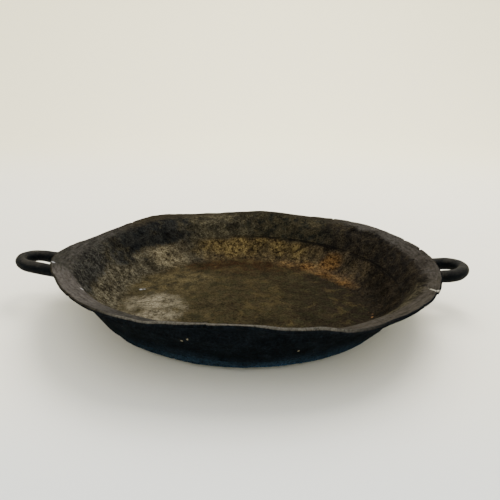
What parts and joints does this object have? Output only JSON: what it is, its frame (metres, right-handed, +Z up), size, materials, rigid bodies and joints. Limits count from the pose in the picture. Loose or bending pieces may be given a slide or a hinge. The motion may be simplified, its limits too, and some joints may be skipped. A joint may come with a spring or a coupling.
{
  "type": "frying pan",
  "caption": "Wide shallow round pan of hammered dark iron with a flared wavy rim and a fixed loop handle of round bar on each side, for frying over a hearth or stove.",
  "frame": {"origin": "centre of the flat underside that the pan rests on", "axes": "+Z up out of the pan, +X out through the shorter right handle, -X out through the longer left handle, +Y to the back"},
  "size_m": [0.4971, 0.392, 0.0662],
  "materials": {
    "bowl_iron": "seasoned and sooty, with rust and baked-on fat",
    "band_iron": "dull brown-black, hammered",
    "handle_iron": "near-black forged bar, worn",
    "rivet_iron": "near-black, hammered",
    "braze": "tarnished"
  },
  "bodies": {
    "root": {"base_bowl": "bowl_iron", "rim_band": "band_iron", "seam_braze": "braze", "left_handle": "handle_iron", "right_handle": "handle_iron", "left_front_rivet_1": "rivet_iron", "left_front_rivet_2": "rivet_iron", "left_back_rivet_1": "rivet_iron", "left_back_rivet_2": "rivet_iron", "right_front_rivet_1": "rivet_iron", "right_front_rivet_2": "rivet_iron", "right_back_rivet_1": "rivet_iron", "right_back_rivet_2": "rivet_iron"}
  },
  "joints": []
}
